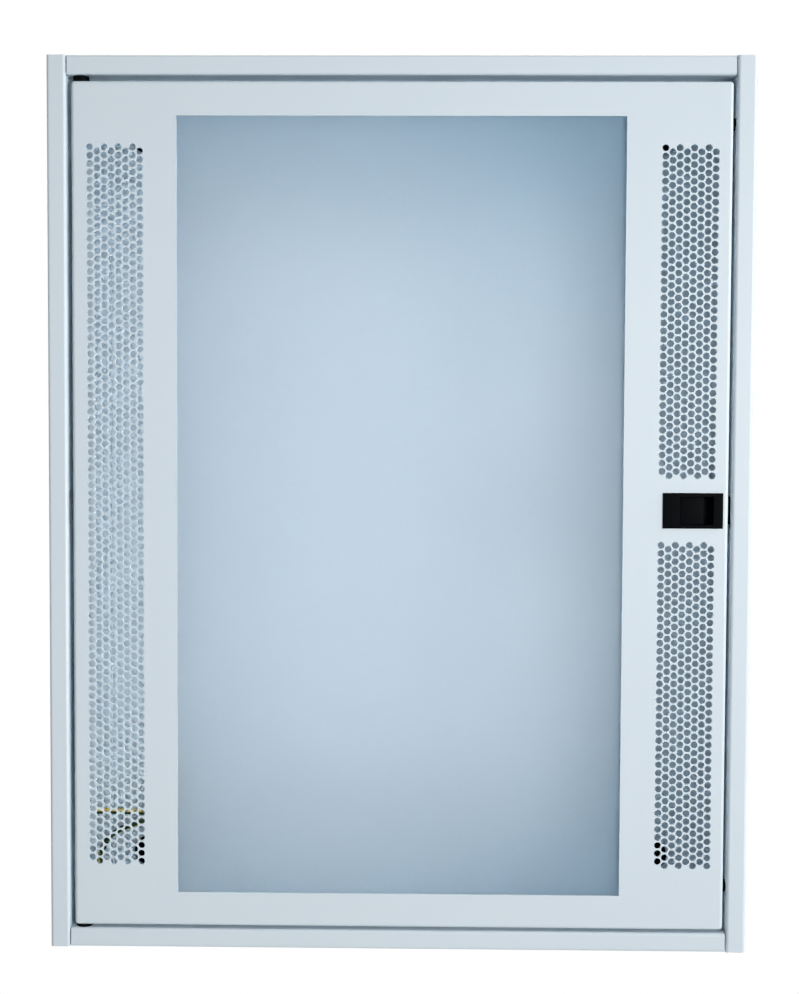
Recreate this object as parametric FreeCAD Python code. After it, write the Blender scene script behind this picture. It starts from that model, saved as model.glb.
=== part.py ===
import FreeCAD, Part
import math
import os

# Wall-hung distribution cabinet in millimetres.
# +X is to the right seen from the front, -Y is the front, +Z is up.
# The origin is the middle of the four wall fixings, on the rear face.

vec = FreeCAD.Vector
x_way = vec(1, 0, 0)
y_way = vec(0, 1, 0)
z_way = vec(0, 0, 1)

# Case: folded and spot-welded sheet
case_width = 515.0
case_height = 656.0
case_depth = 150.0
case_sheet = 1.5
fold_radius = 0.8  # inside radius of every fold
side_flange = 14.3  # frame face beside the door
end_flange = 14.2  # frame face above and below the door
frame_return = 25.5  # depth of the door opening
stop_width = 9.0  # lip that the door closes on
stop_relief = 22.0  # stop left away at both ends, where the hinges swing
rear_flange = 15.0
back_sheet = 1.5
seam_gap = 0.8  # open seam between side flanges and end flanges

# Cable knock-outs in the end walls
knockout_count = 3
knockout_spacing = 120.0
knockout_width = 70.0
knockout_depth = 36.0
knockout_slit = 1.2
knockout_tab = 5.0
knockout_from_back = 52.0

# Wall fixings
fixing_inset_x = 46.5  # from the outside of the case
fixing_inset_z = 30.5
fixing_bore_radius = 4.25
fixing_bush_radius = 12.5
fixing_bush_thick = 3.0

# Door: one folded sheet in the opening
hinge_gap = 3.6
latch_gap = 2.5
head_gap = 4.4
foot_gap = 2.4
door_sheet = 1.5
door_depth = 20.0
door_bend = 2.5  # outside radius of the folded edges
lip_width = 12.0  # inward lips on the two long edges
lip_end_gap = 55.0  # lip left away at both ends

# Perforated strips: fewer and larger holes than the real sheet, with the same open share
strip_from_edge = 31.1  # strip centre from the door's edge
strip_from_end = 48.0  # first hole from the door's end
strip_latch_gap = 25.0  # no holes this near to the middle of the latch
hole_across = 12.4  # across the flats of a hexagonal hole
hole_pitch = 15.6
hole_columns = 3

# Window
stile_width = 76.8  # door sheet left beside the window
rail_height = 25.1  # door sheet left above and below it
pane_overlap = 8.0
pane_thick = 4.0
seal_thick = 1.0
seal_width = 6.0

# Strips that clamp the pane from inside
retainer_sheet = 1.2
retainer_clamp = 6.0  # reach over the pane
retainer_foot = 10.0
retainer_clearance = 1.0
retainer_fold = 0.8  # inside radius of the strip's folds
side_nuts = 4
end_nuts = 2
nut_across = 7.0
nut_height = 6.0  # closed nut

# Pivot hinge at the left edge
pivot_from_edge = 6.0
pivot_depth = 7.5
pin_radius = 2.5
pin_reach = 8.0  # length of pin inside the door
running_clearance = 0.05
hinge_bush_radius = 4.0
hinge_flange_radius = 6.0
hinge_head_play = 0.3
hinge_foot_play = 0.05
hinge_block_width = 26.0
hinge_block_depth = 18.0
hinge_block_height = 9.0

# Stick-on rubber buffers inside the frame on the latch side
buffer_from_end = 34.0
buffer_radius = 4.5
buffer_thick = 1.4
buffer_depth = 8.0  # behind the front face

# Slide latch
latch_edge = 4.0  # bezel to door edge
latch_width = 43.8
latch_height = 26.0
bezel_proud = 1.6
bezel_chamfer = 0.8
finger_left = 12.3  # bezel edge to finger window
finger_right = 7.1
finger_height = 20.4
body_inset = 1.4
body_depth = 13.4
latch_wall = 1.3
slide_clearance = 0.3
pad_width = 17.3
pad_lean = 0.8
pocket_depth = 6.0
bolt_thick = 4.0
bolt_reach = 5.6  # bolt past the inner face of the frame
bolt_nose = 1.2
bolt_slope = 3.2
strike_height = 26.0
strike_depth = 5.6
snap_length = 12.0
snap_rise = 1.0
snap_slope = 5.0
spring_sheet = 0.4
spring_fold = 0.5  # inside radius of a spring fold
spring_height = 9.0
spring_swing = 2.6  # zigzag to either side
spring_waves = 3
pad_bore = 9.0  # depth of the pocket for the spring
pad_skin = 1.4  # wall round that pocket

# Equipment plate on spacers
plate_margin_x = 70.5  # from the outside of the case
plate_margin_z = 97.5
plate_sheet = 2.0
plate_lip = 10.0
plate_hole_inset = 22.0
spacer_length = 10.0
spacer_across = 10.0
plate_nut_across = 10.0
plate_nut_height = 8.0  # closed nut

# Earth bar with its leads, studs and ring lugs
bar_from_side = 59.0
bar_from_floor = 64.2
bar_width = 9.0
bar_depth = 9.0
bar_length = 48.0
bar_chamfer = 0.8
bar_stand = 8.0
bar_post_across = 8.0
bar_foot_inset = 5.0
terminal_count = 5
terminal_pitch = 7.0
terminal_across = 5.5
terminal_height = 3.0
lead_radius = 2.4
lead_flat_count = 10  # a lead is drawn with flats to keep its mesh light
arc_share = 0.45  # of the shorter run, taken up by each bend
earth_nut_across = 10.0
earth_nut_height = 8.0  # closed nut
lug_palm = 12.0
lug_nose = 4.0  # cut from the palm's free corners
lug_thick = 1.2
lug_barrel_radius = 3.2
lug_barrel_start = 8.0
lug_barrel_length = 9.0

# Places worked out from the sizes above
front_y = -case_depth
opening_width = case_width - 2 * side_flange
opening_height = case_height - 2 * end_flange
stop_back_y = front_y + frame_return
back_inner_y = -back_sheet
case_left_inner = -case_width / 2 + case_sheet
case_floor = -case_height / 2 + case_sheet
fixing_x = case_width / 2 - fixing_inset_x
fixing_z = case_height / 2 - fixing_inset_z

door_left = -opening_width / 2 + hinge_gap
door_right = opening_width / 2 - latch_gap
door_top = opening_height / 2 - head_gap
door_bottom = -opening_height / 2 + foot_gap
door_mid_x = (door_left + door_right) / 2
door_mid_z = (door_top + door_bottom) / 2
door_skin_y = front_y + door_sheet
door_back_y = front_y + door_depth

window_width = door_right - door_left - 2 * stile_width
window_height = door_top - door_bottom - 2 * rail_height
hole_rows = int((door_top - door_bottom - 2 * strip_from_end) / hole_pitch + 0.5)
pane_front_y = door_skin_y + seal_thick
pane_back_y = pane_front_y + pane_thick
pane_half_x = window_width / 2 + pane_overlap
pane_half_z = window_height / 2 + pane_overlap
leg_offset = retainer_clearance + retainer_sheet / 2
nut_offset = leg_offset + retainer_foot - nut_across / 2 - retainer_clearance

pivot_x = door_left + pivot_from_edge
pivot_y = front_y + pivot_depth

latch_right = door_right - latch_edge
latch_left = latch_right - latch_width
bezel_y = front_y - bezel_proud
body_left = latch_left + body_inset
body_right = latch_right - body_inset
body_half = finger_height / 2 + slide_clearance + latch_wall
cavity_left = body_left + latch_wall
cavity_right = body_right - latch_wall
cavity_half = finger_height / 2 + slide_clearance
cavity_floor_y = front_y + body_depth - latch_wall
window_left = latch_left + finger_left
window_right = latch_right - finger_right
pad_left = window_left + slide_clearance
bolt_front_y = front_y + pocket_depth
bolt_back_y = bolt_front_y + bolt_thick
bolt_y = (bolt_front_y + bolt_back_y) / 2
bolt_tip = opening_width / 2 + bolt_reach
spring_y = (front_y + cavity_floor_y) / 2

plate_width = case_width - 2 * plate_margin_x
plate_height = case_height - 2 * plate_margin_z
plate_back_y = back_inner_y - spacer_length
bar_x = case_left_inner + bar_from_side
bar_z = case_floor + bar_from_floor
bar_back_y = back_inner_y - bar_stand
bar_front_y = bar_back_y - bar_depth
bar_y = (bar_back_y + bar_front_y) / 2

# Routes of the earth leads, from the bar to the side wall and to the floor
side_lug_x = case_left_inner + lug_barrel_radius
side_lug_z = bar_z + 9.5
base_lug_x = case_left_inner + 8.0
base_lug_z = case_floor + lug_barrel_radius
lead_mouth_y = -72.0
lead_start_x = bar_x - bar_width / 2
side_bend_x = case_left_inner + 33.0
base_bend_x = case_left_inner + 42.0
side_lead_route = [
    vec(lead_start_x, bar_y, bar_z),
    vec(side_bend_x, bar_y, bar_z),
    vec(case_left_inner + 13.0, bar_y - 15.0, bar_z + 5.0),
    vec(side_lug_x, lead_mouth_y + 21.0, side_lug_z),
    vec(side_lug_x, lead_mouth_y, side_lug_z),
]
base_lead_z = bar_z - terminal_pitch
base_lead_route = [
    vec(lead_start_x, bar_y, base_lead_z),
    vec(base_bend_x, bar_y, base_lead_z),
    vec(case_left_inner + 10.0, bar_y - 4.0, case_floor + 45.5),
    vec(case_left_inner + 6.5, bar_y - 17.0, case_floor + 17.0),
    vec(base_lug_x, lead_mouth_y + 21.0, base_lug_z),
    vec(base_lug_x, lead_mouth_y, base_lug_z),
]


def block(x_span, y_span, z_span):
    low = vec(min(x_span), min(y_span), min(z_span))
    high = vec(max(x_span), max(y_span), max(z_span))
    size = high - low
    return Part.makeBox(size.x, size.y, size.z, low)


def rod(radius, start, end):
    return Part.makeCylinder(radius, (end - start).Length, start, end - start)


def polygon(corner_radius, sides):
    angles = [2 * math.pi * step / sides for step in range(sides + 1)]
    return Part.makePolygon([vec(math.cos(a), math.sin(a), 0) * corner_radius for a in angles])


def hex_prism(across, length, place, way):
    prism = Part.Face(polygon(across / math.sqrt(3), 6)).extrude(z_way * length)
    prism.Placement = FreeCAD.Placement(place, FreeCAD.Rotation(z_way, way))
    return prism


def edges_along(solid, way):
    return [e for e in solid.Edges if abs(abs(e.tangentAt(e.FirstParameter).dot(way)) - 1) < 1e-6]


def edges_at_y(solid, y):
    return [e for e in solid.Edges if all(abs(v.Y - y) < 1e-6 for v in e.Vertexes)]


def fold_side(path, offset, normal, radius):
    # one surface of a folded sheet: flats joined by bend arcs, to the left of the middle line
    edges = []
    start = path[0] + normal.cross((path[1] - path[0]).normalize()) * offset
    for before, corner, after in zip(path, path[1:], path[2:]):
        way_in = (corner - before).normalize()
        way_out = (after - corner).normalize()
        left_in = normal.cross(way_in)
        left_out = normal.cross(way_out)
        turn = math.copysign(1, left_in.dot(way_out))
        setback = radius * math.tan(way_in.getAngle(way_out) / 2)
        centre = corner - way_in * setback + left_in * (turn * radius)
        outward = (corner - centre).normalize()
        bend_start = corner - way_in * setback + left_in * offset
        bend_end = corner + way_out * setback + left_out * offset
        bend_middle = centre + outward * (radius - turn * offset)
        edges.append(Part.LineSegment(start, bend_start).toShape())
        edges.append(Part.Arc(bend_start, bend_middle, bend_end).toShape())
        start = bend_end
    end = path[-1] + normal.cross((path[-1] - path[-2]).normalize()) * offset
    edges.append(Part.LineSegment(start, end).toShape())
    return edges, end


def folded_sheet(path, sheet, normal, length, inside=fold_radius):
    # a sheet folded along path, its middle line, and as long as length along normal
    left, left_end = fold_side(path, sheet / 2, normal, inside + sheet / 2)
    right, right_end = fold_side(path, -sheet / 2, normal, inside + sheet / 2)
    caps = [
        Part.LineSegment(left[0].Vertexes[0].Point, right[0].Vertexes[0].Point).toShape(),
        Part.LineSegment(left_end, right_end).toShape(),
    ]
    outline = Part.Wire(Part.sortEdges(left + right + caps)[0])
    return Part.Face(outline).extrude(normal * length)


def strike_slot(side):
    x_span = (side * opening_width / 2, side * (opening_width / 2 + case_sheet))
    y_span = (bolt_y - strike_depth / 2, bolt_y + strike_depth / 2)
    return block(x_span, y_span, (door_mid_z - strike_height / 2, door_mid_z + strike_height / 2))


def side_wall(side):
    half = case_sheet / 2
    wall_x = side * (case_width / 2 - half)
    return_x = side * (opening_width / 2 + half)
    rear_y = back_inner_y - half
    bottom = -case_height / 2
    path = [
        vec(side * (case_width / 2 - rear_flange), rear_y, bottom),
        vec(wall_x, rear_y, bottom),
        vec(wall_x, front_y + half, bottom),
        vec(return_x, front_y + half, bottom),
        vec(return_x, stop_back_y - half, bottom),
        vec(side * (opening_width / 2 - stop_width), stop_back_y - half, bottom),
    ]
    wall = folded_sheet(path, case_sheet, z_way, case_height)
    inner_x = (0, side * (case_width / 2 - case_sheet))
    stop_x = (0, side * opening_width / 2)
    cuts = [strike_slot(side)]
    for end in (-1, 1):
        tip_z = end * case_height / 2
        seat_z = end * (case_height / 2 - case_sheet)
        stop_z = end * (opening_height / 2 - stop_relief)
        cuts.append(block(inner_x, (front_y + case_sheet, 0), (seat_z, tip_z)))
        cuts.append(block(stop_x, (front_y + case_sheet, stop_back_y), (stop_z, tip_z)))
    return wall.cut(cuts)


def knockout_slits(end):
    # two bracket-shaped slits round each knock-out, with tabs left between them
    z_span = (end * (case_height / 2 - case_sheet), end * case_height / 2)
    slits = []
    for step in range(knockout_count):
        x = (step - (knockout_count - 1) / 2) * knockout_spacing
        y_span = (-knockout_from_back - knockout_depth, -knockout_from_back)
        outer = block((x - knockout_width / 2, x + knockout_width / 2), y_span, z_span)
        inner_half = knockout_width / 2 - knockout_slit
        inner_y = (min(y_span) + knockout_slit, max(y_span) - knockout_slit)
        ring = outer.cut(block((x - inner_half, x + inner_half), inner_y, z_span))
        slits.append(ring.cut(block((x - knockout_tab / 2, x + knockout_tab / 2), y_span, z_span)))
    return slits


def end_wall(end):
    half = case_sheet / 2
    wall_z = end * (case_height / 2 - half)
    return_z = end * (opening_height / 2 + half)
    front_half = opening_width / 2 - seam_gap
    rear_half = case_width / 2 - rear_flange - seam_gap
    flat_front_y = front_y + case_sheet + fold_radius
    flat_rear_y = back_inner_y - case_sheet - fold_radius
    middle_y = (flat_front_y + flat_rear_y) / 2
    inner_half = case_width / 2 - case_sheet
    z_span = (end * (case_height / 2 - case_sheet), end * case_height / 2)
    front_path = [
        vec(-front_half, middle_y, wall_z),
        vec(-front_half, front_y + half, wall_z),
        vec(-front_half, front_y + half, return_z),
        vec(-front_half, stop_back_y - half, return_z),
        vec(-front_half, stop_back_y - half, end * (opening_height / 2 - stop_width)),
    ]
    rear_path = [
        vec(-rear_half, middle_y, wall_z),
        vec(-rear_half, back_inner_y - half, wall_z),
        vec(-rear_half, back_inner_y - half, end * (case_height / 2 - rear_flange)),
    ]
    pieces = [
        folded_sheet(front_path, case_sheet, x_way, 2 * front_half),
        folded_sheet(rear_path, case_sheet, x_way, 2 * rear_half),
        block((-inner_half, inner_half), (flat_front_y, flat_rear_y), z_span),
    ]
    for side in (-1, 1):
        front_tab = (side * (front_half + seam_gap), side * inner_half)
        rear_tab = (side * (rear_half + seam_gap), side * inner_half)
        pieces.append(block(front_tab, (front_y + case_sheet, flat_front_y), z_span))
        pieces.append(block(rear_tab, (flat_rear_y, back_inner_y), z_span))
    wall = pieces[0].fuse(pieces[1:]).removeSplitter()
    hinge = vec(pivot_x, pivot_y, end * opening_height / 2)
    pin_hole = rod(pin_radius + running_clearance, hinge, hinge + z_way * (end * case_sheet))
    return wall.cut(knockout_slits(end) + [pin_hole])


def fixing_places():
    return [vec(sx * fixing_x, 0, sz * fixing_z) for sx in (-1, 1) for sz in (-1, 1)]


def back_wall():
    inset = case_sheet + fold_radius
    half_x = case_width / 2 - inset
    half_z = case_height / 2 - inset
    wall = block((-half_x, half_x), (back_inner_y, 0), (-half_z, half_z))
    return wall.cut([rod(fixing_bore_radius, p, p - y_way * back_sheet) for p in fixing_places()])


def wall_fixing_bushes():
    bushes = []
    for place in fixing_places():
        seat = place - y_way * back_sheet
        face = seat - y_way * fixing_bush_thick
        bushes.append(rod(fixing_bush_radius, seat, face).cut(rod(fixing_bore_radius, seat, face)))
    return Part.makeCompound(bushes)


def door_buffers():
    buffers = []
    for end in (-1, 1):
        seat = vec(opening_width / 2, front_y + buffer_depth, end * (opening_height / 2 - buffer_from_end))
        buffers.append(rod(buffer_radius, seat, seat - x_way * buffer_thick))
    return Part.makeCompound(buffers)


def hinge_block(end):
    seat_z = end * (opening_height / 2 + case_sheet)
    far_z = seat_z + end * hinge_block_height
    front = front_y + case_sheet + fold_radius
    left = -opening_width / 2 + seam_gap
    piece = block((left, left + hinge_block_width), (front, front + hinge_block_depth), (seat_z, far_z))
    return piece.cut(rod(pin_radius, vec(pivot_x, pivot_y, seat_z), vec(pivot_x, pivot_y, far_z)))


def door_edge(end):
    return vec(pivot_x, pivot_y, door_top if end > 0 else door_bottom)


def hinge_pin(end):
    outer = vec(pivot_x, pivot_y, end * (opening_height / 2 + case_sheet + hinge_block_height))
    return rod(pin_radius, outer, door_edge(end) - z_way * (end * pin_reach))


def hinge_bush(end):
    thick = head_gap - hinge_head_play if end > 0 else foot_gap - hinge_foot_play
    edge = door_edge(end)
    inner = edge - z_way * (end * pin_reach)
    outer = edge + z_way * (end * thick)
    bush = rod(hinge_flange_radius, edge, outer).fuse(rod(hinge_bush_radius, inner, edge)).removeSplitter()
    return bush.cut(rod(pin_radius + running_clearance, inner, outer))


def both_ends(make):
    return Part.makeCompound([make(end) for end in (-1, 1)])


def folded_pan(inset, depth, radius):
    # a block with its four front edges rounded as folds
    pan = block((door_left + inset, door_right - inset), (front_y + inset, front_y + depth),
                (door_bottom + inset, door_top - inset))
    return pan.makeFillet(radius, edges_at_y(pan, front_y + inset))


def door_lip(side):
    edge_x = door_left if side < 0 else door_right
    wall_x = edge_x - side * door_sheet / 2
    bottom = door_bottom + lip_end_gap
    path = [
        vec(wall_x, front_y + door_depth / 2, bottom),
        vec(wall_x, door_back_y - door_sheet / 2, bottom),
        vec(edge_x - side * lip_width, door_back_y - door_sheet / 2, bottom),
    ]
    return folded_sheet(path, door_sheet, z_way, door_top - door_bottom - 2 * lip_end_gap)


def perforations():
    column_step = hole_pitch * math.sqrt(3) / 2
    first_z = door_mid_z + (hole_rows - 0.5) * hole_pitch / 2
    holes = []
    for strip_x, latched in ((door_left + strip_from_edge, False), (door_right - strip_from_edge, True)):
        for column in range(hole_columns):
            x = strip_x + (column - (hole_columns - 1) / 2) * column_step
            for row in range(hole_rows):
                z = first_z - hole_pitch * (row + (column % 2) / 2)
                if latched and abs(z - door_mid_z) < strip_latch_gap:
                    continue
                holes.append(hex_prism(hole_across, door_sheet, vec(x, door_skin_y, z), -y_way))
    return holes


def window_block(grow, y_span):
    half_x = window_width / 2 + grow
    half_z = window_height / 2 + grow
    x_span = (door_mid_x - half_x, door_mid_x + half_x)
    return block(x_span, y_span, (door_mid_z - half_z, door_mid_z + half_z))


def door_panel():
    outside = folded_pan(0, door_depth - door_sheet - fold_radius, door_bend)
    inside = folded_pan(door_sheet, door_depth, door_bend - door_sheet)
    panel = outside.cut(inside).fuse([door_lip(-1), door_lip(1)]).removeSplitter()
    latch_half = body_half + running_clearance
    latch_x = (body_left - running_clearance, body_right + running_clearance)
    latch_z = (door_mid_z - latch_half, door_mid_z + latch_half)
    bolt_span = (bolt_front_y - slide_clearance, bolt_back_y + slide_clearance)
    bolt_z = (door_mid_z - cavity_half, door_mid_z + cavity_half)
    cuts = [
        window_block(0, (front_y, door_skin_y)),
        block(latch_x, (front_y, door_skin_y), latch_z),
        block((door_right - door_sheet, door_right), bolt_span, bolt_z),
    ]
    for end in (-1, 1):
        edge = door_edge(end)
        cuts.append(rod(hinge_bush_radius, edge, edge - z_way * (end * door_sheet)))
    return panel.cut(cuts + perforations())


def window_pane():
    return window_block(pane_overlap, (pane_front_y, pane_back_y))


def pane_seal():
    outer = window_block(pane_overlap, (door_skin_y, pane_front_y))
    return outer.cut(window_block(pane_overlap - seal_width, (door_skin_y, pane_front_y)))


def retainer_layout():
    # name, direction along the strip, direction outwards, length, distance of the pane's edge, nut count
    side_length = 2 * pane_half_z
    end_length = 2 * (pane_half_x - retainer_clamp - retainer_clearance)
    return [
        ("left", z_way, -x_way, side_length, pane_half_x, side_nuts),
        ("right", z_way, x_way, side_length, pane_half_x, side_nuts),
        ("top", x_way, z_way, end_length, pane_half_z, end_nuts),
        ("bottom", x_way, -z_way, end_length, pane_half_z, end_nuts),
    ]


def retainer(along, across, length, pane_half):
    # Z-shaped strip: one leg over the pane, one foot on the door sheet
    half = retainer_sheet / 2
    start = vec(door_mid_x, 0, door_mid_z) - along * (length / 2)
    over_y = pane_back_y + half
    foot_y = door_skin_y + half
    offsets = [
        (pane_half - retainer_clamp, over_y),
        (pane_half + leg_offset, over_y),
        (pane_half + leg_offset, foot_y),
        (pane_half + leg_offset + retainer_foot, foot_y),
    ]
    path = [start + across * out + y_way * y for out, y in offsets]
    return folded_sheet(path, retainer_sheet, along, length, retainer_fold)


def retainer_nuts():
    centre = vec(door_mid_x, door_skin_y + retainer_sheet, door_mid_z)
    nuts = []
    for name, along, across, length, pane_half, count in retainer_layout():
        for step in range(count):
            place = centre + along * ((step + 0.5) * length / count - length / 2)
            nuts.append(hex_prism(nut_across, nut_height, place + across * (pane_half + nut_offset), y_way))
    return Part.makeCompound(nuts)


def latch_housing():
    z_span = (door_mid_z - latch_height / 2, door_mid_z + latch_height / 2)
    bezel = block((latch_left, latch_right), (bezel_y, front_y), z_span)
    bezel = bezel.makeChamfer(bezel_chamfer, edges_at_y(bezel, bezel_y))
    body = block((body_left, body_right), (front_y, front_y + body_depth),
                 (door_mid_z - body_half, door_mid_z + body_half))
    snaps = []
    snap_x = (body_left + body_right - snap_length) / 2
    for end in (-1, 1):
        face_z = door_mid_z + end * body_half
        wedge = Part.makePolygon([
            vec(snap_x, door_skin_y, face_z),
            vec(snap_x, door_skin_y, face_z + end * snap_rise),
            vec(snap_x, door_skin_y + snap_slope, face_z),
            vec(snap_x, door_skin_y, face_z),
        ])
        snaps.append(Part.Face(wedge).extrude(x_way * snap_length))
    housing = bezel.fuse([body] + snaps).removeSplitter()
    cavity_z = (door_mid_z - cavity_half, door_mid_z + cavity_half)
    finger_z = (door_mid_z - finger_height / 2, door_mid_z + finger_height / 2)
    bolt_span = (bolt_front_y - slide_clearance, bolt_back_y + slide_clearance)
    return housing.cut([
        block((cavity_left, cavity_right), (front_y, cavity_floor_y), cavity_z),
        block((window_left, window_right), (bezel_y, front_y), finger_z),
        block((cavity_right, body_right), bolt_span, cavity_z),
    ])


def latch_slider():
    half = finger_height / 2
    top_y = front_y + slide_clearance
    under_y = cavity_floor_y - slide_clearance
    pad_right = pad_left + pad_width
    base_right = cavity_right - slide_clearance
    bottom = door_mid_z - half
    outline = [
        vec(pad_left, top_y, bottom),
        vec(pad_right, top_y, bottom),
        vec(pad_right - pad_lean, bolt_front_y, bottom),
        vec(bolt_tip, bolt_front_y, bottom),
        vec(bolt_tip, bolt_front_y + bolt_nose, bottom),
        vec(bolt_tip - bolt_slope, bolt_back_y, bottom),
        vec(base_right, bolt_back_y, bottom),
        vec(base_right, under_y, bottom),
        vec(pad_left, under_y, bottom),
    ]
    slider = Part.Face(Part.makePolygon(outline + outline[:1])).extrude(z_way * (2 * half))
    pocket_half = spring_height / 2 + slide_clearance
    return slider.cut(block((pad_left, pad_left + pad_bore), (top_y + pad_skin, under_y - pad_skin),
                            (door_mid_z - pocket_half, door_mid_z + pocket_half)))


def latch_spring():
    # zigzag leaf between the housing's end wall and the pocket of the pad
    start_x = cavity_left + spring_sheet / 2
    end_x = pad_left + pad_bore - spring_sheet / 2
    bottom = door_mid_z - spring_height / 2
    path = [vec(start_x, spring_y - spring_swing, bottom)]
    for step in range(spring_waves + 1):
        swing = spring_swing * (-1) ** step
        path.append(vec(start_x + (end_x - start_x) * step / spring_waves, spring_y + swing, bottom))
    path.append(vec(end_x, spring_y - swing, bottom))
    return folded_sheet(path, spring_sheet, z_way, spring_height, spring_fold)


def plate_corners():
    x = plate_width / 2 - plate_hole_inset
    z = plate_height / 2 - plate_hole_inset
    return [vec(sx * x, back_inner_y, sz * z) for sx in (-1, 1) for sz in (-1, 1)]


def mounting_plate():
    half = plate_sheet / 2
    edge_x = plate_width / 2 - half
    middle_y = plate_back_y - half
    lip_y = plate_back_y - plate_lip
    bottom = -plate_height / 2
    path = [
        vec(-edge_x, lip_y, bottom),
        vec(-edge_x, middle_y, bottom),
        vec(edge_x, middle_y, bottom),
        vec(edge_x, lip_y, bottom),
    ]
    return folded_sheet(path, plate_sheet, z_way, plate_height)


def plate_spacers():
    return Part.makeCompound([hex_prism(spacer_across, spacer_length, p, -y_way) for p in plate_corners()])


def plate_nuts():
    seats = [p - y_way * (spacer_length + plate_sheet) for p in plate_corners()]
    return Part.makeCompound([hex_prism(plate_nut_across, plate_nut_height, s, -y_way) for s in seats])


def earth_bar():
    x_span = (bar_x - bar_width / 2, bar_x + bar_width / 2)
    z_span = (bar_z - bar_length / 2, bar_z + bar_length / 2)
    bar = block(x_span, (bar_front_y, bar_back_y), z_span)
    return bar.makeChamfer(bar_chamfer, edges_along(bar, z_way))


def earth_bar_posts():
    posts = []
    for end in (-1, 1):
        foot = vec(bar_x, back_inner_y, bar_z + end * (bar_length / 2 - bar_foot_inset))
        posts.append(hex_prism(bar_post_across, bar_stand, foot, -y_way))
    return Part.makeCompound(posts)


def earth_bar_screws():
    screws = []
    for step in range(terminal_count):
        z = bar_z + (step - (terminal_count - 1) / 2) * terminal_pitch
        screws.append(hex_prism(terminal_across, terminal_height, vec(bar_x, bar_front_y, z), -y_way))
    return Part.makeCompound(screws)


def lug_layout():
    # palm centre on the wall, direction off the wall
    palm_y = lead_mouth_y - lug_barrel_start - lug_barrel_length
    return [(vec(case_left_inner, palm_y, side_lug_z), x_way), (vec(base_lug_x, palm_y, case_floor), z_way)]


def crimp_lug(place, way):
    # flat palm and crimped barrel, the barrel pointing to the rear
    side = way.cross(y_way)
    half = lug_palm / 2
    neck_y = lug_barrel_start + lug_thick
    right_edge = [(half - lug_nose, -half), (half, -half + lug_nose), (half, neck_y / 2), (half / 2, neck_y)]
    left_edge = [(-across, along) for across, along in reversed(right_edge)]
    corners = [place + side * across + y_way * along for across, along in right_edge + left_edge]
    palm = Part.Face(Part.makePolygon(corners + corners[:1])).extrude(way * lug_thick)
    start = place + y_way * lug_barrel_start + way * lug_barrel_radius
    return palm.fuse(rod(lug_barrel_radius, start, start + y_way * lug_barrel_length)).removeSplitter()


def earth_lugs():
    return Part.makeCompound([crimp_lug(place, way) for place, way in lug_layout()])


def earth_nuts():
    nuts = []
    for place, way in lug_layout():
        nuts.append(hex_prism(earth_nut_across, earth_nut_height, place + way * lug_thick, way))
    return Part.makeCompound(nuts)


def lead_section(place, way):
    section = polygon(lead_radius, lead_flat_count)
    section.Placement = FreeCAD.Placement(place, FreeCAD.Rotation(z_way, way))
    return section


def lead(name, route):
    # a lead along straight runs joined by tangent arcs
    edges = []
    radii = []
    start = route[0]
    for before, corner, after in zip(route, route[1:], route[2:]):
        setback = arc_share * min((corner - before).Length, (after - corner).Length)
        way_in = (corner - before).normalize()
        way_out = (after - corner).normalize()
        half_turn = way_in.getAngle(way_out) / 2
        radius = setback / math.tan(half_turn)
        inward = (way_out - way_in).normalize()
        bend_start = corner - way_in * setback
        bend_end = corner + way_out * setback
        bend_middle = corner + inward * (radius / math.cos(half_turn) - radius)
        edges.append(Part.LineSegment(start, bend_start).toShape())
        edges.append(Part.Arc(bend_start, bend_middle, bend_end).toShape())
        radii.append(round(radius, 1))
        start = bend_end
    edges.append(Part.LineSegment(start, route[-1]).toShape())
    line = Part.Wire(edges)
    section = lead_section(route[0], route[1] - route[0])
    tube = line.makePipeShell([section], True, False)
    share = tube.Volume / (Part.Face(section).Area * line.Length)
    print(name, "length", round(line.Length, 1), "bend radii", radii, "volume share", round(share, 4))
    return tube


def save(name, shape):
    shape.exportStep("parts/" + name + ".step")


def build():
    os.makedirs("parts", exist_ok=True)
    save("left_side", side_wall(-1))
    save("right_side", side_wall(1))
    save("top_wall", end_wall(1))
    save("bottom_wall", end_wall(-1))
    save("back_wall", back_wall())
    save("wall_fixing_bushes", wall_fixing_bushes())
    save("door_buffers", door_buffers())
    save("hinge_blocks", both_ends(hinge_block))
    save("hinge_pins", both_ends(hinge_pin))
    save("hinge_bushes", both_ends(hinge_bush))
    save("door_panel", door_panel())
    save("window_pane", window_pane())
    save("pane_seal", pane_seal())
    for name, along, across, length, pane_half, count in retainer_layout():
        save("pane_retainer_" + name, retainer(along, across, length, pane_half))
    save("retainer_nuts", retainer_nuts())
    save("latch_housing", latch_housing())
    save("latch_slider", latch_slider())
    save("latch_spring", latch_spring())
    save("mounting_plate", mounting_plate())
    save("plate_spacers", plate_spacers())
    save("plate_nuts", plate_nuts())
    save("earth_bar", earth_bar())
    save("earth_bar_posts", earth_bar_posts())
    save("earth_bar_screws", earth_bar_screws())
    save("earth_lugs", earth_lugs())
    save("earth_nuts", earth_nuts())
    save("earth_lead_side", lead("earth_lead_side", side_lead_route))
    save("earth_lead_base", lead("earth_lead_base", base_lead_route))


build()
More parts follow.
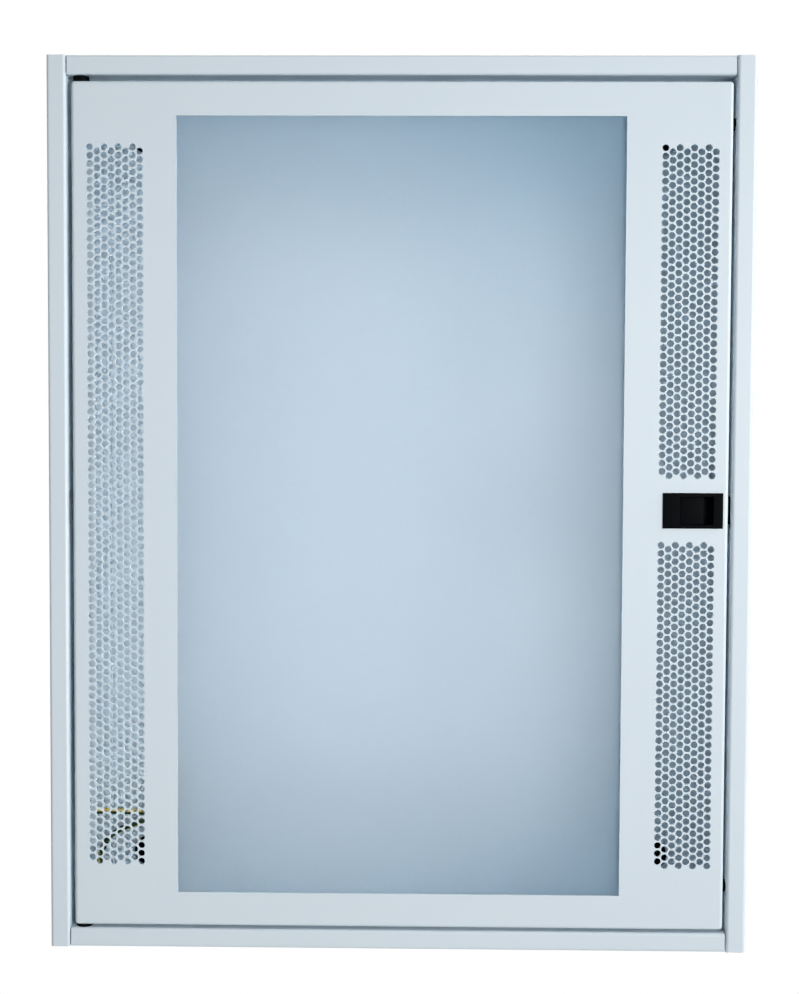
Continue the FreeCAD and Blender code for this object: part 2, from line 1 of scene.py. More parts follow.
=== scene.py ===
import math
import bmesh
import bpy
from mathutils import Euler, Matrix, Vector


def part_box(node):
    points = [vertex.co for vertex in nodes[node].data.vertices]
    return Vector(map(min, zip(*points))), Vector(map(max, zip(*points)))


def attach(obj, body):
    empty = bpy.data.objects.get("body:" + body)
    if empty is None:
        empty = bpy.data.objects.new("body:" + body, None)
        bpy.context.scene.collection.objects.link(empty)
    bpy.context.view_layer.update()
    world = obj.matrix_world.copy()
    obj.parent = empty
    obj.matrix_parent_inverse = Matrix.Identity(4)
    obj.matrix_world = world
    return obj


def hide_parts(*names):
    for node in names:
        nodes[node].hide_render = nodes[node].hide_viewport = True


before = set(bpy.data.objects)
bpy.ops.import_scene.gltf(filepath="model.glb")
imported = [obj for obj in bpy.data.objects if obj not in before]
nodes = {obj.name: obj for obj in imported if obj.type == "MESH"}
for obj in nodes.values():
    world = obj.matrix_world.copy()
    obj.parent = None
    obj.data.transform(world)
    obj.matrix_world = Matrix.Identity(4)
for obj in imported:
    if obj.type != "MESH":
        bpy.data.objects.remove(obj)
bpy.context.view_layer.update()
mm = 0.001
weld = 0.002 * mm  # points nearer than this become one
print("frame loaded with", len(nodes), "nodes")


class Wire:
    # a socket of a node tree: arithmetic on it adds Math nodes, node() adds any other
    def __init__(self, tree, socket=None):
        self.tree = tree
        self.socket = socket

    def node(self, kind, settings=None, inputs=None, out=0):
        made = self.tree.nodes.new(kind)
        for key, value in (settings or {}).items():
            setattr(made, key, value)
        for key, value in (inputs or {}).items():
            for item in value if isinstance(value, list) else [value]:  # a list is several links
                if isinstance(item, Wire):
                    self.tree.links.new(item.socket, made.inputs[key])
                else:
                    made.inputs[key].default_value = item
        return Wire(self.tree, made.outputs[out] if len(made.outputs) else None)

    def maths(self, operation, *values):
        return self.node("ShaderNodeMath", {"operation": operation}, dict(enumerate(values)))

    def __add__(self, other):
        return self.maths("ADD", self, other)

    def __sub__(self, other):
        return self.maths("SUBTRACT", self, other)

    def __rsub__(self, other):
        return self.maths("SUBTRACT", other, self)

    def __mul__(self, other):
        return self.maths("MULTIPLY", self, other)

    def __truediv__(self, other):
        return self.maths("DIVIDE", self, other)

    def __floordiv__(self, other):
        return self.maths("FLOOR", self / other)

    def __mod__(self, other):
        return self.maths("MODULO", self, other)

    __radd__ = __add__
    __rmul__ = __mul__


def shade(red, green, blue):
    # a colour as seen on screen, 0 to 255, as linear light
    screen = [c / 255 for c in (red, green, blue)]
    return tuple(c / 12.92 if c <= 0.04045 else ((c + 0.055) / 1.055) ** 2.4 for c in screen) + (1.0,)


def newMaterial(name):
    material = bpy.data.materials.new(name)
    material.use_nodes = True
    material.node_tree.nodes.clear()
    return material, Wire(material.node_tree)


def noise(wire, scale, detail, stretch=(1, 1, 1)):
    place = wire.node("ShaderNodeTexCoord", out="Object")
    if stretch != (1, 1, 1):
        place = wire.node("ShaderNodeMapping", inputs={"Vector": place, "Scale": stretch})
    return wire.node("ShaderNodeTexNoise", inputs={"Vector": place, "Scale": scale, "Detail": detail})


def mixColour(wire, factor, low, high):
    return wire.node("ShaderNodeMix", {"data_type": "RGBA"}, {0: factor, 6: low, 7: high}, out=2)


def softStep(wire, value, start, end):
    return wire.node("ShaderNodeMapRange", {"interpolation_type": "SMOOTHSTEP"},
                     {"Value": value, "From Min": start, "From Max": end})


def bumpFrom(wire, height, strength, distance):
    return wire.node("ShaderNodeBump", inputs={"Height": height, "Strength": strength, "Distance": distance})


def closeMaterial(wire, sockets):
    shader = wire.node("ShaderNodeBsdfPrincipled", inputs=sockets)
    wire.node("ShaderNodeOutputMaterial", inputs={"Surface": shader})


# in the dictionaries of the finishes, cloud, grain and the like are a noise's scale and detail
powderCoat = {
    "light": shade(226, 238, 246), "dark": shade(220, 233, 242),
    "cloud": (5.0, 4.0), "peel": (620.0, 2.0), "handled": (22.0, 3.0),
    "peelStrength": 0.10, "peelDepth": 0.4 * mm, "gloss": 0.42, "glossSpread": 0.14, "index": 1.5,
}


def powderCoatPaint():
    material, wire = newMaterial("powderCoatPaint")
    cloud, peel, handled = [noise(wire, *powderCoat[key]) for key in ("cloud", "peel", "handled")]
    closeMaterial(wire, {
        "Base Color": mixColour(wire, cloud, powderCoat["dark"], powderCoat["light"]),
        "Roughness": powderCoat["gloss"] + powderCoat["glossSpread"] * handled,
        "Normal": bumpFrom(wire, peel, powderCoat["peelStrength"], powderCoat["peelDepth"]),
        "IOR": powderCoat["index"],
    })
    return material


frosted = {
    "pale": shade(245, 250, 254), "deepTintAndShade": shade(208, 238, 255),
    # the tint is palest at the middle and deepens outwards: painted shade, for the inside behind the pane
    # that lies darker towards its edges
    "middle": (-0.07, -0.02), "spread": (0.33, 0.36), "paintedEdgeShade": (0.1, 1.5),
    "cloud": (4.0, 3.0), "cloudTone": 0.3, "grain": (900.0, 2.0), "grainTone": 0.6,
    "grainStrength": 0.15, "grainDepth": 0.2 * mm,
    "gloss": 0.56, "glossSpread": 0.06, "through": 0.9, "specular": 0.3, "index": 1.46,
}


def frostedAcrylic():
    material, wire = newMaterial("frostedAcrylic")
    place = wire.node("ShaderNodeTexCoord", out="Object")
    x, z = [wire.node("ShaderNodeSeparateXYZ", inputs={"Vector": place}, out=way) for way in "XZ"]
    across = (x - frosted["middle"][0]) / frosted["spread"][0]
    up = (z - frosted["middle"][1]) / frosted["spread"][1]
    # painted shade: the pane's colour deepens towards its edges, where the inside behind it is in shade
    paintedEdgeShade = softStep(wire, across * across + up * up, *frosted["paintedEdgeShade"])
    cloud, grain = [noise(wire, *frosted[key]) for key in ("cloud", "grain")]
    # random cloud and grain tone added to the painted edge shade
    tintAndShade = wire.maths("MULTIPLY_ADD", grain - 0.5, frosted["grainTone"],
                      paintedEdgeShade + frosted["cloudTone"] * (cloud - 0.5))
    closeMaterial(wire, {
        "Base Color": mixColour(wire, tintAndShade, frosted["pale"], frosted["deepTintAndShade"]),
        "Roughness": frosted["gloss"] + frosted["glossSpread"] * grain,
        "Normal": bumpFrom(wire, grain, frosted["grainStrength"], frosted["grainDepth"]),
        "Transmission Weight": frosted["through"],
        "Specular IOR Level": frosted["specular"],
        "IOR": frosted["index"],
    })
    return material


mouldedSkin = {"cloud": (60.0, 3.0), "glossSpread": 0.12, "grainDepth": 0.2 * mm, "specular": 0.03}
mouldedBlacks = {
    "blackMoulding": {"dark": shade(3, 5, 8), "light": shade(7, 10, 13), "gloss": 0.48,
                      "grain": (900.0, 2.0), "grainStrength": 0.16},
    "blackRubber": {"dark": shade(12, 13, 15), "light": shade(22, 23, 25), "gloss": 0.62,
                    "grain": (500.0, 2.0), "grainStrength": 0.25},
}


def mouldedBlack(name):
    black = mouldedBlacks[name]
    material, wire = newMaterial(name)
    cloud = noise(wire, *mouldedSkin["cloud"])
    grain = noise(wire, *black["grain"])
    closeMaterial(wire, {
        "Base Color": mixColour(wire, cloud, black["dark"], black["light"]),
        "Roughness": black["gloss"] + mouldedSkin["glossSpread"] * cloud,
        "Normal": bumpFrom(wire, grain, black["grainStrength"], mouldedSkin["grainDepth"]),
        "Specular IOR Level": mouldedSkin["specular"],
    })
    return material


rolledSkin = {"cloud": (35.0, 3.0), "streakShare": 0.5, "streakStrength": 0.08, "streakDepth": 0.1 * mm}
bareMetals = {  # rolled or plated: the streak's third value stretches its noise
    "zincSheet": {"dark": shade(158, 165, 170), "light": shade(196, 202, 206), "gloss": 0.36,
                  "glossSpread": 0.18, "streak": (90.0, 4.0, (1, 1, 14))},
    "brightSteel": {"dark": shade(168, 172, 176), "light": shade(206, 209, 212), "gloss": 0.24,
                    "glossSpread": 0.14, "streak": (300.0, 4.0, (1, 6, 1))},
    "brass": {"dark": shade(176, 142, 74), "light": shade(214, 182, 108), "gloss": 0.26,
              "glossSpread": 0.16, "streak": (260.0, 4.0, (1, 1, 8))},
    "tinnedCopper": {"dark": shade(178, 180, 180), "light": shade(208, 209, 208), "gloss": 0.3,
                     "glossSpread": 0.16, "streak": (300.0, 4.0, (4, 1, 4))},
}


def bareMetal(name):
    metal = bareMetals[name]
    material, wire = newMaterial(name)
    streak = noise(wire, *metal["streak"])
    cloud = noise(wire, *rolledSkin["cloud"])
    share = rolledSkin["streakShare"]
    closeMaterial(wire, {
        "Base Color": mixColour(wire, share * streak + (1 - share) * cloud, metal["dark"], metal["light"]),
        "Roughness": metal["gloss"] + metal["glossSpread"] * streak,
        "Normal": bumpFrom(wire, streak, rolledSkin["streakStrength"], rolledSkin["streakDepth"]),
        "Metallic": 1.0,
    })
    return material


earthSkin = {
    "green": shade(24, 72, 24), "yellow": shade(238, 204, 112), "dusty": shade(150, 140, 110),
    "stripeEdge": (0.12, 0.32), "dust": (240.0, 3.0), "dustShare": 0.16, "dustStrength": 0.06,
    "dustDepth": 0.2 * mm, "gloss": 0.38, "glossSpread": 0.15,
}


def earthInsulation():
    material, wire = newMaterial("earthInsulation")
    stripe = wire.node("ShaderNodeAttribute", {"attribute_name": "stripe"}, out="Fac")
    edge = softStep(wire, stripe, *earthSkin["stripeEdge"])
    dust = noise(wire, *earthSkin["dust"])
    pure = mixColour(wire, edge, earthSkin["green"], earthSkin["yellow"])
    closeMaterial(wire, {
        "Base Color": mixColour(wire, earthSkin["dustShare"] * dust, pure, earthSkin["dusty"]),
        "Roughness": earthSkin["gloss"] + earthSkin["glossSpread"] * dust,
        "Normal": bumpFrom(wire, dust, earthSkin["dustStrength"], earthSkin["dustDepth"]),
    })
    return material


paint = powderCoatPaint()
pane = frostedAcrylic()
blackPlastic, blackRubber = [mouldedBlack(name) for name in mouldedBlacks]
zincSheet, brightSteel, brass, tinned = [bareMetal(name) for name in bareMetals]
earthCover = earthInsulation()

finishes = {
    paint: ["left_side", "right_side", "top_wall", "bottom_wall", "back_wall",
            "mounting_plate", "hinge_blocks"],
    pane: ["window_pane"],
    blackPlastic: ["hinge_bushes"],
    blackRubber: ["door_buffers", "pane_seal"],
    zincSheet: ["pane_retainer_left", "pane_retainer_right", "pane_retainer_top", "pane_retainer_bottom"],
    brightSteel: ["hinge_pins", "plate_spacers", "plate_nuts", "retainer_nuts", "latch_spring",
                  "earth_bar_posts", "earth_bar_screws", "earth_nuts"],
    brass: ["earth_bar"],
    tinned: ["earth_lugs"],
}
for finish, names in finishes.items():
    for name in names:
        nodes[name].data.materials.clear()
        nodes[name].data.materials.append(finish)
print("finishes on the carried-over pieces")


def newTree(name, sizes):
    # a node tree with one named input for each size
    tree = bpy.data.node_groups.new(name, "GeometryNodeTree")
    tree.interface.new_socket("Geometry", in_out="INPUT", socket_type="NodeSocketGeometry")
    for label, value in sizes.items():
        kind = "NodeSocketInt" if isinstance(value, int) else "NodeSocketFloat"
        tree.interface.new_socket(label, in_out="INPUT", socket_type=kind)
    tree.interface.new_socket("Geometry", in_out="OUTPUT", socket_type="NodeSocketGeometry")
    entry = tree.nodes.new("NodeGroupInput")
    return Wire(tree), {socket.name: Wire(tree, socket) for socket in entry.outputs if socket.name}


def grow(wire, sizes, start):
    # runs a tree on a start mesh and gives the plain mesh that comes out
    holder = bpy.data.objects.new(wire.tree.name, start)
    bpy.context.scene.collection.objects.link(holder)
    modifier = holder.modifiers.new("nodes", "NODES")
    modifier.node_group = wire.tree
    for item in wire.tree.interface.items_tree:
        if item.in_out == "INPUT" and item.name in sizes:
            modifier[item.identifier] = sizes[item.name]
    graph = bpy.context.evaluated_depsgraph_get()
    mesh = bpy.data.meshes.new_from_object(holder.evaluated_get(graph))
    bpy.data.objects.remove(holder)
    return mesh


def closeTree(wire, geometry, material):
    whole = wire.node("GeometryNodeRealizeInstances", inputs={"Geometry": geometry})
    whole = wire.node("GeometryNodeSetMaterial", inputs={"Geometry": whole, "Material": material})
    wire.node("NodeGroupOutput", inputs={"Geometry": whole})


def placePiece(name, mesh, body, slot, *stoodFor):
    piece = bpy.data.objects.new(name, mesh)
    bpy.context.scene.collection.objects.link(piece)
    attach(piece, body)
    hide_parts(*stoodFor)
    return piece


def roundShading(mesh, degrees):
    mesh.polygons.foreach_set("use_smooth", [True] * len(mesh.polygons))
    mesh.set_sharp_from_angle(angle=math.radians(degrees))


doorLow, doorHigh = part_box("door_panel")
doorMiddle = (doorLow + doorHigh) / 2
paneLow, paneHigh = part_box("window_pane")
latchLow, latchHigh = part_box("latch_housing")
doorEdge = {
    "bend": 2.5 * mm, "sheet": 1.5 * mm, "wallEnd": 17.7 * mm, "steps": 8,
    "lipBend": 2.3 * mm, "lipWidth": 12.0 * mm, "lipEndGap": 55.0 * mm,
    "slotDepth": (5.7 * mm, 10.3 * mm), "slotHalf": 10.5 * mm,  # the bolt's way out
    # by how much pane and latch are larger than their openings
    "paneLap": 16.0 * mm, "latchLap": (2.7 * mm, 2.3 * mm),
    "sharp": 30,  # degrees
}
doorFront = {
    "Face Width": doorHigh.x - doorLow.x - 2 * doorEdge["bend"],
    "Face Height": doorHigh.z - doorLow.z - 2 * doorEdge["bend"],
    "Sheet": doorEdge["sheet"],
    "Window Width": paneHigh.x - paneLow.x - doorEdge["paneLap"],
    "Window Height": paneHigh.z - paneLow.z - doorEdge["paneLap"],
    "Latch Offset": (latchLow.x + latchHigh.x) / 2 - doorMiddle.x,
    "Latch Width": latchHigh.x - latchLow.x - doorEdge["latchLap"][0],
    "Latch Height": latchHigh.z - latchLow.z - doorEdge["latchLap"][1],
    "Left Strip": -208.4 * mm,  # strip centres from the door's middle
    "Right Strip": 209.6 * mm,
    "Hole Diameter": 5.0 * mm,
    "Hole Pitch": 6.0 * mm,
    "Hole Sides": 16,
    "Columns": 8,
    "Full Rows": 88,
    "Short Rows": 40,
    "First Hole": 262.7 * mm,
    "Below Latch": -25.3 * mm,
}


def holeBlock(wire, sizes, offset, first, rows):
    # staggered holes: every other column half a pitch lower
    index = wire.node("GeometryNodeInputIndex")
    column = index // rows
    row = index - column * rows
    x = offset + (column - (sizes["Columns"] - 1) / 2) * (sizes["Hole Pitch"] * math.sqrt(0.75))
    y = first - sizes["Hole Pitch"] * (row + 0.5 * (column % 2))
    place = wire.node("ShaderNodeCombineXYZ", inputs={"X": x, "Y": y})
    points = wire.node("GeometryNodePoints", inputs={"Count": rows * sizes["Columns"], "Position": place})
    circle = wire.node("GeometryNodeCurvePrimitiveCircle", {"mode": "RADIUS"},
                       {"Resolution": sizes["Hole Sides"], "Radius": sizes["Hole Diameter"] / 2})
    holes = wire.node("GeometryNodeInstanceOnPoints", inputs={"Points": points, "Instance": circle})
    return wire.node("GeometryNodeRealizeInstances", inputs={"Geometry": holes})


def cutOut(wire, width, height, x=0.0):
    outline = wire.node("GeometryNodeCurvePrimitiveQuadrilateral", {"mode": "RECTANGLE"},
                        {"Width": width, "Height": height})
    shift = wire.node("ShaderNodeCombineXYZ", inputs={"X": x})
    return wire.node("GeometryNodeTransform", inputs={"Geometry": outline, "Translation": shift})


def perforatedFace():
    wire, sizes = newTree("perforatedFace", doorFront)
    outlines = [
        cutOut(wire, sizes["Face Width"], sizes["Face Height"]),
        cutOut(wire, sizes["Window Width"], sizes["Window Height"]),
        cutOut(wire, sizes["Latch Width"], sizes["Latch Height"], sizes["Latch Offset"]),
        holeBlock(wire, sizes, sizes["Left Strip"], sizes["First Hole"], sizes["Full Rows"]),
        holeBlock(wire, sizes, sizes["Right Strip"], sizes["First Hole"], sizes["Short Rows"]),
        holeBlock(wire, sizes, sizes["Right Strip"], sizes["Below Latch"], sizes["Short Rows"]),
    ]
    flat = wire.node("GeometryNodeJoinGeometry", inputs={"Geometry": outlines})
    flat = wire.node("GeometryNodeFillCurve", {"mode": "TRIANGLES"}, {"Curve": flat})
    front = wire.node("GeometryNodeExtrudeMesh", {"mode": "FACES"},
                      {"Mesh": flat, "Offset Scale": sizes["Sheet"], "Individual": False})
    back = wire.node("GeometryNodeFlipFaces", inputs={"Mesh": flat})
    both = wire.node("GeometryNodeJoinGeometry", inputs={"Geometry": [front, back]})
    both = wire.node("GeometryNodeMergeByDistance", inputs={"Geometry": both, "Distance": weld})
    upright = wire.node("GeometryNodeTransform", inputs={
        "Geometry": both, "Rotation": Euler((math.pi / 2, 0, 0)),
        "Translation": (doorMiddle.x, doorLow.y + doorEdge["sheet"], doorMiddle.z)})
    closeTree(wire, upright, paint)
    return grow(wire, doorFront, bpy.data.meshes.new("perforatedFace"))


def edgeRing(bm, inset, depth):
    # a loop round the door: two points beside the bolt slot, then four rounded corners
    steps = doorEdge["steps"]
    radius = doorEdge["bend"] - inset
    y = doorLow.y + depth
    ring = [(doorHigh.x - inset, y, doorMiddle.z + end * doorEdge["slotHalf"]) for end in (-1, 1)]
    corners = [(doorHigh.x, doorHigh.z), (doorLow.x, doorHigh.z),
               (doorLow.x, doorLow.z), (doorHigh.x, doorLow.z)]
    for turn, (x, z) in enumerate(corners):
        middleX = x - math.copysign(doorEdge["bend"], x - doorMiddle.x)
        middleZ = z - math.copysign(doorEdge["bend"], z - doorMiddle.z)
        for step in range(steps + 1):
            angle = (turn + step / steps) * math.pi / 2
            ring.append((middleX + radius * math.cos(angle), y, middleZ + radius * math.sin(angle)))
    return [bm.verts.new(place) for place in ring]


def quarterTurn():
    return [step / doorEdge["steps"] * math.pi / 2 for step in range(doorEdge["steps"] + 1)]


def edgeSection():
    # inset and depth along the folded edge: outside bend, wall, inside wall, inside bend
    bend, sheet, end = doorEdge["bend"], doorEdge["sheet"], doorEdge["wallEnd"]
    tight = bend - sheet
    outside = [(bend - bend * math.sin(a), bend - bend * math.cos(a)) for a in quarterTurn()]
    inside = [(bend - tight * math.sin(a), bend - tight * math.cos(a)) for a in reversed(quarterTurn())]
    near, far = doorEdge["slotDepth"]
    walls = [(0, near), (0, far), (0, end), (sheet, end), (sheet, far), (sheet, near)]
    return outside + walls + inside


def addLip(bm, side):
    bend, sheet, base = doorEdge["lipBend"], doorEdge["sheet"], doorEdge["wallEnd"]
    tight = bend - sheet
    outside = [(bend - bend * math.cos(a), base + bend * math.sin(a)) for a in quarterTurn()]
    inside = [(bend - tight * math.cos(a), base + tight * math.sin(a)) for a in reversed(quarterTurn())]
    tip = [(doorEdge["lipWidth"], base + bend), (doorEdge["lipWidth"], base + tight)]
    section = outside + tip + inside
    edgeX = doorHigh.x if side > 0 else doorLow.x
    ends = [doorLow.z + doorEdge["lipEndGap"], doorHigh.z - doorEdge["lipEndGap"]]
    low, high = [[bm.verts.new((edgeX - side * u, doorLow.y + v, z)) for u, v in section] for z in ends]
    bm.faces.new(low)
    bm.faces.new(high)
    for step in range(len(section)):
        after = (step + 1) % len(section)
        bm.faces.new((low[step], low[after], high[after], high[step]))


def doorRim():
    bm = bmesh.new()
    section = edgeSection()
    rings = [edgeRing(bm, inset, depth) for inset, depth in section]
    count = len(rings[0])
    slotStart = doorEdge["slotDepth"][0]
    outerRing, innerRing = [i for i, (inset, depth) in enumerate(section) if depth == slotStart]
    for level in range(len(rings)):
        ring, beyond = rings[level], rings[(level + 1) % len(rings)]
        for step in range(count):
            after = (step + 1) % count
            if step == 0 and level in (outerRing, innerRing - 1):
                continue  # the bolt's slot
            bm.faces.new((ring[step], ring[after], beyond[after], beyond[step]))
    outerSlot = [rings[outerRing][0], rings[outerRing][1], rings[outerRing + 1][1], rings[outerRing + 1][0]]
    innerSlot = [rings[innerRing][0], rings[innerRing][1], rings[innerRing - 1][1], rings[innerRing - 1][0]]
    for step in range(4):
        after = (step + 1) % 4
        bm.faces.new((outerSlot[step], outerSlot[after], innerSlot[after], innerSlot[step]))
    for side in (-1, 1):
        addLip(bm, side)
    bmesh.ops.remove_doubles(bm, verts=bm.verts, dist=weld)
    bmesh.ops.recalc_face_normals(bm, faces=bm.faces)
    return bm


def buildDoorSheet():
    bm = doorRim()
    bm.from_mesh(perforatedFace())
    mesh = bpy.data.meshes.new("doorSheet")
    bm.to_mesh(mesh)
    bm.free()
    mesh.materials.append(paint)
    roundShading(mesh, doorEdge["sharp"])
    placePiece("doorSheet", mesh, "door", "painted_steel", "door_panel")
    print("door sheet:", len(mesh.polygons), "faces")


buildDoorSheet()

# flat, sharp and shading are angles in degrees
moulding = {"round": 0.45 * mm, "segments": 3, "flat": 1, "sharp": 35, "shading": 40}


def mouldedCopy(node, name, body):
    # the moulding's own shape with its edges rounded
    bm = bmesh.new()
    bm.from_mesh(nodes[node].data)
    bmesh.ops.remove_doubles(bm, verts=bm.verts, dist=weld)
    bmesh.ops.dissolve_limit(bm, angle_limit=math.radians(moulding["flat"]), verts=bm.verts, edges=bm.edges)
    edges = [edge for edge in bm.edges
             if len(edge.link_faces) == 2 and math.degrees(edge.calc_face_angle()) > moulding["sharp"]]
    bmesh.ops.bevel(bm, geom=edges, offset=moulding["round"], segments=moulding["segments"], profile=0.5,
                    affect="EDGES", clamp_overlap=True)
    mesh = bpy.data.meshes.new(name)
    bm.to_mesh(mesh)
    bm.free()
    mesh.materials.append(blackPlastic)
    roundShading(mesh, moulding["shading"])
    placePiece(name, mesh, body, "black_plastic", node)


mouldedCopy("latch_housing", "latchHousing", "door")
mouldedCopy("latch_slider", "latchSlider", "latch")
print("latch mouldings rounded")

bushLow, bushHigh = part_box("wall_fixing_bushes")
bushRadius = 12.5 * mm
fixingBush = {
    "Outside": bushRadius, "Bore": 4.25 * mm, "Thick": 3.0 * mm, "Edge": 0.6 * mm, "Skin": 0.5 * mm,
    "Apart X": bushHigh.x - bushLow.x - 2 * bushRadius, "Apart Z": bushHigh.z - bushLow.z - 2 * bushRadius,
    "Ring Sides": 40, "Edge Sides": 3, "Skin Sides": 24,
}


def fixingBushes():
    # four rounded rings, each bore closed by a thin black skin: painted shade, a dark sheet standing in for
    # the shaded wall seen through the bore
    wire, sizes = newTree("fixingBushes", fixingBush)
    ring = wire.node("GeometryNodeCurvePrimitiveCircle", {"mode": "RADIUS"},
                     {"Resolution": sizes["Ring Sides"], "Radius": (sizes["Outside"] + sizes["Bore"]) / 2})
    section = wire.node("GeometryNodeCurvePrimitiveQuadrilateral", {"mode": "RECTANGLE"},
                        {"Width": sizes["Outside"] - sizes["Bore"], "Height": sizes["Thick"]})
    section = wire.node("GeometryNodeFilletCurve", {"mode": "POLY"},
                        {"Curve": section, "Radius": sizes["Edge"], "Count": sizes["Edge Sides"]})
    body = wire.node("GeometryNodeCurveToMesh", inputs={"Curve": ring, "Profile Curve": section})
    # painted shade: a black disc closing the bore where only the dark wall behind would show
    shadeSkin = wire.node("GeometryNodeMeshCylinder", {"fill_type": "NGON"},
                     {"Vertices": sizes["Skin Sides"], "Radius": sizes["Bore"], "Depth": sizes["Skin"]})
    whole = wire.node("GeometryNodeJoinGeometry", inputs={"Geometry": [body, shadeSkin]})
    corners = wire.node("GeometryNodeMeshGrid", inputs={
        "Size X": sizes["Apart X"], "Size Y": sizes["Apart Z"], "Vertices X": 2, "Vertices Y": 2})
    four = wire.node("GeometryNodeInstanceOnPoints", inputs={"Points": corners, "Instance": whole})
    four = wire.node("GeometryNodeTransform", inputs={
        "Geometry": four, "Rotation": Euler((math.pi / 2, 0, 0)),
        "Translation": (0, (bushLow.y + bushHigh.y) / 2, 0)})
    closeTree(wire, four, blackPlastic)
    mesh = grow(wire, fixingBush, bpy.data.meshes.new("fixingBushes"))
    roundShading(mesh, moulding["shading"])
    placePiece("fixingBushes", mesh, "cabinet", "black_plastic", "wall_fixing_bushes")


fixingBushes()
print("wall fixing bushes rounded")

leadShape = {"Radius": 2.4 * mm, "Sides": 20, "Turn": 0.0, "Twist": 0.0}  # the last two are each lead's own
earthLeads = {  # turn is where the yellow stripe starts, twist how fast it goes round
    "earthLeadSide": {
        "node": "earth_lead_side", "turn": math.pi, "twist": 4.0,
        "route": ((-201.5, -14, -262.3), (-223, -14, -262.3), (-243, -29, -257.3),
                  (-252.8, -51, -252.8), (-252.8, -72, -252.8)),
    },
    "earthLeadBase": {
        "node": "earth_lead_base", "turn": -0.7, "twist": 44.0,
        "route": ((-201.5, -14, -269.3), (-214, -14, -269.3), (-246, -18, -281),
                  (-249.5, -31, -309.5), (-248, -51, -323.3), (-248, -72, -323.3)),
    },
}
leadResolution = 10


def leadLine(route):
    curve = bpy.data.curves.new("leadLine", "CURVE")
    curve.dimensions = "3D"
    spline = curve.splines.new("NURBS")
    spline.points.add(len(route) - 1)
    for point, place in zip(spline.points, route):
        point.co = (*(c * mm for c in place), 1)
    spline.order_u = 3
    spline.use_endpoint_u = True
    spline.resolution_u = leadResolution
    holder = bpy.data.objects.new("leadLine", curve)
    line = bpy.data.meshes.new_from_object(holder)
    bpy.data.objects.remove(holder)
    return line


def keepValue(wire, geometry, name, value):
    # stores a number for each point, to be read by name
    return wire.node("GeometryNodeStoreNamedAttribute", {"data_type": "FLOAT", "domain": "POINT"},
                     {"Geometry": geometry, "Name": name, "Value": value})


def leadTree():
    # a round cover along a line, with a stripe that turns slowly about it
    wire, sizes = newTree("leadCover", leadShape)
    rail = wire.node("GeometryNodeMeshToCurve", inputs={"Mesh": sizes["Geometry"]})
    rail = wire.node("GeometryNodeSetCurveNormal", {"mode": "Z_UP"}, {"Curve": rail})
    rail = keepValue(wire, rail, "along", wire.node("GeometryNodeSplineParameter", out="Length"))
    ring = wire.node("GeometryNodeCurvePrimitiveCircle", {"mode": "RADIUS"},
                     {"Resolution": sizes["Sides"], "Radius": sizes["Radius"]})
    ring = keepValue(wire, ring, "around", wire.node("GeometryNodeSplineParameter", out="Factor"))
    tube = wire.node("GeometryNodeCurveToMesh",
                     inputs={"Curve": rail, "Profile Curve": ring, "Fill Caps": True})
    along, around = [wire.node("GeometryNodeInputNamedAttribute", {"data_type": "FLOAT"}, {"Name": name})
                     for name in ("along", "around")]
    stripe = wire.maths("SINE", 2 * math.pi * around + sizes["Turn"] + sizes["Twist"] * along)
    tube = keepValue(wire, tube, "stripe", stripe)
    tube = wire.node("GeometryNodeSetShadeSmooth", inputs={"Geometry": tube})
    closeTree(wire, tube, earthCover)
    return wire


leadCover = leadTree()
for name, lead in earthLeads.items():
    line = leadLine(lead["route"])
    tube = grow(leadCover, {**leadShape, "Turn": lead["turn"], "Twist": lead["twist"]}, line)
    piece = placePiece(name, tube, "cabinet", "earth_insulation", lead["node"])

studio = {
    "floorLevel": -0.9, "floorSize": 30.0, "floorSeen": 0.62, "floorFade": (0.95, 1.3),
    "floorDark": shade(236, 236, 236), "floorLight": shade(240, 240, 240), "floorSpeck": (40.0, 3.0),
    "fill": 0.13, "target": (-0.29, -0.15, 0.03),
    "lamps": {  # place, size, power, spread in degrees
        "frontSoftbox": ((1.6, -2.2, 0.15), 0.8, 7.75, 65),
        "sideSoftbox": ((1.5, -0.36, 0.85), 0.7, 10.0, 180),
        "backSoftbox": ((-1.5, 1.5, 0.9), 3.2, 45.0, 180),
    },
}


def lightPaths(wire):
    paths = [wire.node("ShaderNodeLightPath", out=name)
             for name in ("Is Camera Ray", "Is Glossy Ray", "Is Transmission Ray")]
    return wire.maths("MAXIMUM", wire.maths("MAXIMUM", paths[0], paths[1]), paths[2])


def paleFloor():
    # matt, and seen white further out; near the object it keeps the shadow
    material, wire = newMaterial("paleFloor")
    speck = noise(wire, *studio["floorSpeck"])
    matt = wire.node("ShaderNodeBsdfPrincipled", inputs={
        "Base Color": mixColour(wire, speck, studio["floorDark"], studio["floorLight"]),
        "Roughness": 1.0, "Specular IOR Level": 0.0})
    place = wire.node("ShaderNodeTexCoord", out="Object")
    reach = wire.node("ShaderNodeVectorMath", {"operation": "LENGTH"}, {0: place}, out="Value")
    fade = softStep(wire, reach, *studio["floorFade"])
    seen = lightPaths(wire) * (studio["floorSeen"] + (1 - studio["floorSeen"]) * fade)
    white = wire.node("ShaderNodeEmission")
    both = wire.node("ShaderNodeMixShader", inputs={0: seen, 1: matt, 2: white})
    wire.node("ShaderNodeOutputMaterial", inputs={"Surface": both})
    return material


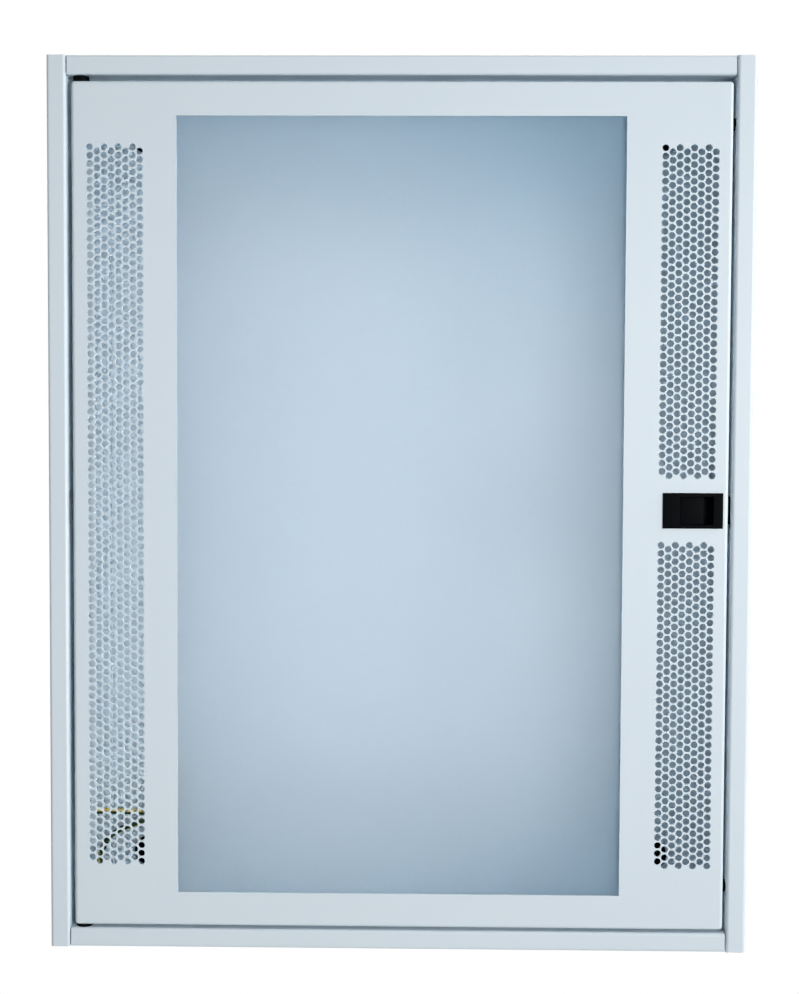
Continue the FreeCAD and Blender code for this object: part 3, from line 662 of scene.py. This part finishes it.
def layFloor():
    bm = bmesh.new()
    bmesh.ops.create_grid(bm, x_segments=1, y_segments=1, size=studio["floorSize"] / 2)
    bmesh.ops.translate(bm, verts=bm.verts, vec=(0, 0, studio["floorLevel"]))
    mesh = bpy.data.meshes.new("floor")
    bm.to_mesh(mesh)
    bm.free()
    mesh.materials.append(paleFloor())
    floor = bpy.data.objects.new("floor", mesh)
    bpy.context.scene.collection.objects.link(floor)


def lightWorld():
    # seen white, but only a low fill on the object
    world = bpy.data.worlds.new("studioWorld")
    world.use_nodes = True
    world.node_tree.nodes.clear()
    wire = Wire(world.node_tree)
    dim, white = [wire.node("ShaderNodeBackground", inputs={"Color": (1, 1, 1, 1), "Strength": strength})
                  for strength in (studio["fill"], 1.0)]
    sky = wire.node("ShaderNodeMixShader", inputs={0: lightPaths(wire), 1: dim, 2: white})
    wire.node("ShaderNodeOutputWorld", inputs={"Surface": sky})
    bpy.context.scene.world = world


def hangLamps():
    for name, (place, size, power, spread) in studio["lamps"].items():
        lamp = bpy.data.lights.new(name, "AREA")
        lamp.shape = "SQUARE"
        lamp.size = size
        lamp.energy = power
        lamp.spread = math.radians(spread)
        softbox = bpy.data.objects.new(name, lamp)
        softbox.location = place
        aim = Vector(studio["target"]) - softbox.location
        softbox.rotation_euler = aim.to_track_quat("-Z", "Y").to_euler()
        bpy.context.scene.collection.objects.link(softbox)


layFloor()
lightWorld()
hangLamps()
print("floor, world and lamps set")

lens = {"place": (16.02, -1210.38, 53.39), "turn": (87.552, -0.252, 0.848), "focal": 52.515,
        "sensor": 36.0, "near": 0.01}  # place in millimetres, turn in degrees
camera = bpy.data.objects.new("camera", bpy.data.cameras.new("camera"))
camera.location = [c * mm for c in lens["place"]]
camera.rotation_euler = [math.radians(a) for a in lens["turn"]]
camera.data.lens = lens["focal"]
camera.data.sensor_width = lens["sensor"]
camera.data.clip_start = lens["near"]
bpy.context.scene.collection.objects.link(camera)
bpy.context.scene.camera = camera
bpy.context.scene.view_settings.view_transform = "Standard"
print("camera set")
